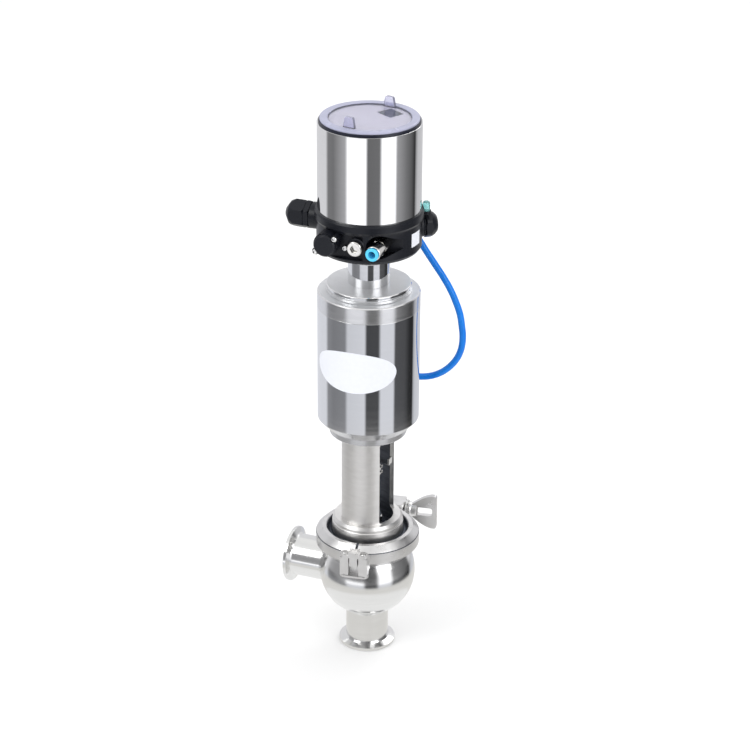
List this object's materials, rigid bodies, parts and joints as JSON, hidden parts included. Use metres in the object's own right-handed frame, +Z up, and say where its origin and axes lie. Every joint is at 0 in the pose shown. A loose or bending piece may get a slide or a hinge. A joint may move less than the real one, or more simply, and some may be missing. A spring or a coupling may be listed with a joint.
{
  "type": "sanitary control valve",
  "caption": "Sanitary angle control valve: ball body with clamp ferrules, hinged clamp, windowed yoke, spring-return pneumatic actuator and a top positioner.",
  "frame": {"origin": "centre of the inlet ferrule's face, on the stem axis", "axes": "+Z up along the stem from the inlet to the lid; the outlet leaves along -X; the positioner's front ports face -Y"},
  "size_m": [0.1448, 0.1231, 0.5119],
  "materials": {
    "satin_steel": "satin polish",
    "turned_steel": "fine turned",
    "polished_steel": "mirror polish",
    "cast_steel": "tumbled casting",
    "pin_steel": "ground",
    "ptfe": "smooth",
    "seal_rubber": "smooth",
    "aluminium": "turned",
    "spring_steel": "oiled wire",
    "black_plastic": "fine moulded grain",
    "clear_plastic": "clear, glossy",
    "pale_plastic": "smooth",
    "dark_display": "glossy",
    "dark_plastic": "smooth",
    "teal_plastic": "clear, tinted",
    "nickel": "nickel plated",
    "ring_blue": "moulded",
    "tube_blue": "smooth, slightly clear"
  },
  "bodies": {
    "root": {"valve_body": "satin_steel", "yoke": "satin_steel", "seat_ring": "turned_steel", "gland_nut": "turned_steel", "actuator_base": "polished_steel", "actuator_barrel": "polished_steel", "actuator_cap": "polished_steel", "cap_disc": "polished_steel", "neck": "polished_steel", "positioner_shell": "polished_steel", "clamp_half_left": "cast_steel", "clamp_link": "cast_steel", "link_pins": "pin_steel", "bolt_pivot_pin": "pin_steel", "base_screws": "pin_steel", "stem_bush": "ptfe", "rod_bush": "ptfe", "body_gasket": "seal_rubber", "stem_seal": "seal_rubber", "return_spring": "spring_steel", "positioner_base": "black_plastic", "vent_cap": "black_plastic", "left_gland": "black_plastic", "right_gland": "black_plastic", "inner_cover": "pale_plastic", "display": "dark_display", "position_sensor": "dark_plastic", "pilot_valves": "dark_plastic", "status_lens": "teal_plastic", "blanking_plug": "nickel", "supply_fitting": "nickel", "upper_elbow": "nickel", "lower_elbow": "nickel", "air_tube": "tube_blue"},
    "stem_line": {"plug": "turned_steel", "plug_seal": "ptfe", "valve_stem": "turned_steel", "coupling": "turned_steel", "coupling_screws": "pin_steel", "travel_pointer": "turned_steel", "piston": "aluminium", "piston_seal": "seal_rubber", "piston_rod": "turned_steel", "feedback_rod": "pin_steel"},
    "clamp_right": {"clamp_half_right": "cast_steel"},
    "bolt": {"swing_bolt": "cast_steel"},
    "washer": {"bolt_washer": "cast_steel"},
    "nut": {"wing_nut": "cast_steel"},
    "lid_ring": {"lid_seal": "seal_rubber"},
    "lid": {"lid": "clear_plastic"},
    "supply_collet": {"supply_ring": "ring_blue"},
    "upper_collet": {"upper_elbow_ring": "ring_blue"},
    "lower_collet": {"lower_elbow_ring": "ring_blue"},
    "left_cable_nut": {"left_gland_nut": "black_plastic"},
    "right_cap": {"right_gland_cap": "black_plastic"}
  },
  "joints": [
    {"name": "stem_travel", "type": "slide", "parent": "root", "child": "stem_line", "axis": [0, 0, 1], "range_m": [0, 0.015], "stiffness_N_per_m": 6000, "springref_m": -0.03, "deforming": ["return_spring"]},
    {"name": "wing_nut_turn", "type": "hinge", "parent": "washer", "child": "nut", "pos_m": [0.02205, 0.05864, 0.108], "axis": [0.9903, 0.1392, 0], "range_deg": [0, 1800]},
    {"name": "washer_slide", "type": "slide", "parent": "bolt", "child": "washer", "axis": [0.9903, 0.1392, 0], "range_m": [0, 0.0063]},
    {"name": "bolt_swing", "type": "hinge", "parent": "root", "child": "bolt", "pos_m": [-0.01855, 0.05293, 0.108], "axis": [0, 0, 1], "range_deg": [0, 85]},
    {"name": "clamp_loosen", "type": "hinge", "parent": "root", "child": "clamp_right", "pos_m": [0.01549, -0.04983, 0.108], "axis": [0, 0, -1], "range_deg": [0, 3.05]},
    {"name": "lid_lift", "type": "slide", "parent": "root", "child": "lid_ring", "axis": [0, 0, 1], "range_m": [0, 0.03]},
    {"name": "lid_turn", "type": "hinge", "parent": "lid_ring", "child": "lid", "pos_m": [0, 0, 0.503], "axis": [0, 0, 1], "range_deg": [0, 30]},
    {"name": "supply_collet_press", "type": "slide", "parent": "root", "child": "supply_collet", "axis": [0, 1, 0], "range_m": [0, 0.0012], "stiffness_N_per_m": 400},
    {"name": "upper_collet_press", "type": "slide", "parent": "root", "child": "upper_collet", "axis": [-0.6, 0, 0.8], "range_m": [0, 0.0012], "stiffness_N_per_m": 400},
    {"name": "lower_collet_press", "type": "slide", "parent": "root", "child": "lower_collet", "axis": [-1, 0, 0], "range_m": [0, 0.0012], "stiffness_N_per_m": 400},
    {"name": "left_gland_turn", "type": "hinge", "parent": "root", "child": "left_cable_nut", "pos_m": [-0.06, 0, 0.4083], "axis": [-1, 0, 0], "range_deg": [0, 60]},
    {"name": "right_cap_turn", "type": "hinge", "parent": "root", "child": "right_cap", "pos_m": [0.04045, 0.02939, 0.403], "axis": [0.809, 0.5878, 0], "range_deg": [0, 60]}
  ],
  "couplings": [
    {"joint": "washer_slide", "follows": "wing_nut_turn", "m_per_rad": 0.00019894},
    {"joint": "clamp_loosen", "follows": "wing_nut_turn", "ratio": 0.0016667}
  ]
}
